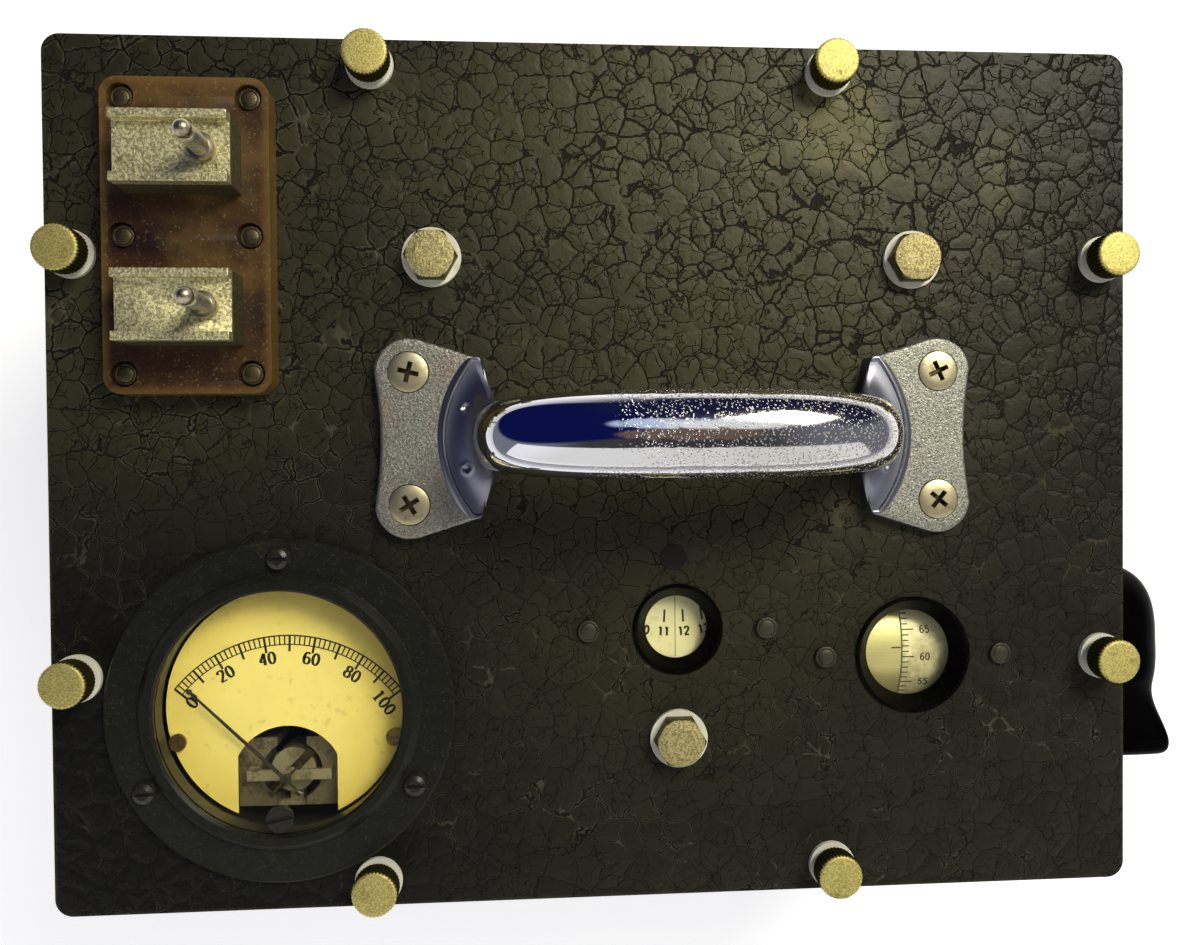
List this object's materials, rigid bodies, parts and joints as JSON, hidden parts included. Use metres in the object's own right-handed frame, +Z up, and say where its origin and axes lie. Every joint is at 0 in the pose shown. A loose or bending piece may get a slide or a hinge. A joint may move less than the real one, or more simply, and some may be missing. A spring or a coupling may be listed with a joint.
{
  "type": "wavemeter",
  "caption": "Bench wavemeter: metal case and crackle panel, worm-driven variable air condenser with dial windows, thermo-galvanometer, coil plugs, side crank and top handle.",
  "frame": {"origin": "centre of the whole footprint, crank included, on the plane of the feet", "axes": "+X to the operator's right, towards the crank; +Y to the back of the panel; +Z up, out of the panel"},
  "size_m": [0.2944, 0.209, 0.182],
  "materials": {
    "case_lacquer": "black crackle lacquer",
    "panel_lacquer": "black crackle lacquer, aged",
    "rubber": "matt black",
    "plain_steel": "dull",
    "nickel": "satin nickel",
    "white_fibre": "white fibre",
    "chrome": "polished, hammered flanges",
    "yellow_zinc": "yellow zinc",
    "brown_bakelite": "brown phenolic",
    "aged_nickel": "aged nickel plate",
    "copper_wire": "tinned copper",
    "black_enamel": "satin black",
    "window_glass": "clear",
    "meter_black": "satin black",
    "scale_paper": "aged cream scale",
    "aged_brass": "aged",
    "iron": "soft iron",
    "magnet_red": "dull red paint",
    "black_bakelite": "polished black phenolic",
    "plain_aluminium": "machined",
    "plate_aluminium": "rolled sheet",
    "glazed_ceramic": "glazed",
    "bearing_brass": "machined",
    "wheel_brass": "cut brass",
    "ground_steel": "ground",
    "silvered": "silvered, brushed",
    "dial_cream": "cream celluloid"
  },
  "bodies": {
    "root": {"case": "case_lacquer", "feet": "rubber", "foot_screws": "plain_steel", "panel": "panel_lacquer", "panel_thumbscrews": "nickel", "thumbscrew_washers": "white_fibre", "handle": "chrome", "handle_screws": "yellow_zinc", "handle_nuts": "plain_steel", "condenser_bolts": "plain_steel", "condenser_washers": "white_fibre", "terminal_plate": "brown_bakelite", "terminal_rivets": "aged_brass", "coil_blocks": "aged_nickel", "coil_plugs": "aged_nickel", "coil_block_nuts": "bearing_brass", "stator_lead": "copper_wire", "rotor_lead": "copper_wire", "window_bezels": "black_enamel", "window_glasses": "window_glass", "window_rivets": "black_enamel", "panel_plug": "panel_lacquer", "meter_front": "meter_black", "meter_glass": "window_glass", "meter_screws": "black_enamel", "meter_scale_plate": "scale_paper", "meter_scale_screws": "aged_brass", "meter_core": "iron", "meter_pole_pieces": "iron", "meter_magnet": "magnet_red", "meter_bridge": "aged_brass", "meter_case": "black_bakelite", "meter_terminals": "bearing_brass", "thermocouple": "brown_bakelite", "panel_posts": "plain_aluminium", "top_end_plate": "plain_aluminium", "frame_pillars": "plain_aluminium", "bottom_end_plate": "plain_aluminium", "pillar_nuts": "plain_steel", "stator_plates": "plate_aluminium", "stator_rods": "bearing_brass", "insulators": "glazed_ceramic", "upper_bearing": "bearing_brass", "lower_bearing": "bearing_brass", "worm_bearings": "plain_aluminium", "index_sleeve": "silvered", "wall_bushing": "bearing_brass"},
    "rotor": {"rotor_shaft": "ground_steel", "rotor_plates": "plate_aluminium", "rotor_collars": "bearing_brass", "worm_wheel": "wheel_brass", "main_dial": "dial_cream"},
    "drive": {"worm_shaft": "ground_steel", "worm": "ground_steel", "graduated_drum": "silvered", "crank_knob": "black_bakelite", "crank_set_screw": "plain_steel"},
    "needle": {"meter_pointer": "black_enamel", "meter_coil": "copper_wire"},
    "zero": {"zero_corrector": "black_bakelite"}
  },
  "joints": [
    {"name": "rotor_turn", "type": "hinge", "parent": "root", "child": "rotor", "pos_m": [0.00235, 0.0087, 0.06], "axis": [0, 0, 1], "range_deg": [-110.28, 69.72]},
    {"name": "crank_turn", "type": "hinge", "parent": "root", "child": "drive", "pos_m": [0.11675, -0.0463, 0.1116], "axis": [1, 0, 0], "range_deg": [-4183.2, 6616.8]},
    {"name": "needle_swing", "type": "hinge", "parent": "root", "child": "needle", "pos_m": [-0.09355, -0.0737, 0.126], "axis": [0, 0, 1], "range_deg": [-99, 5], "stiffness_Nm_per_rad": 0.0001},
    {"name": "zero_turn", "type": "hinge", "parent": "root", "child": "zero", "pos_m": [-0.09355, -0.0813, 0.144], "axis": [0, 0, 1], "range_deg": [-90, 90]}
  ],
  "couplings": [
    {"joint": "crank_turn", "follows": "rotor_turn", "ratio": -60}
  ]
}
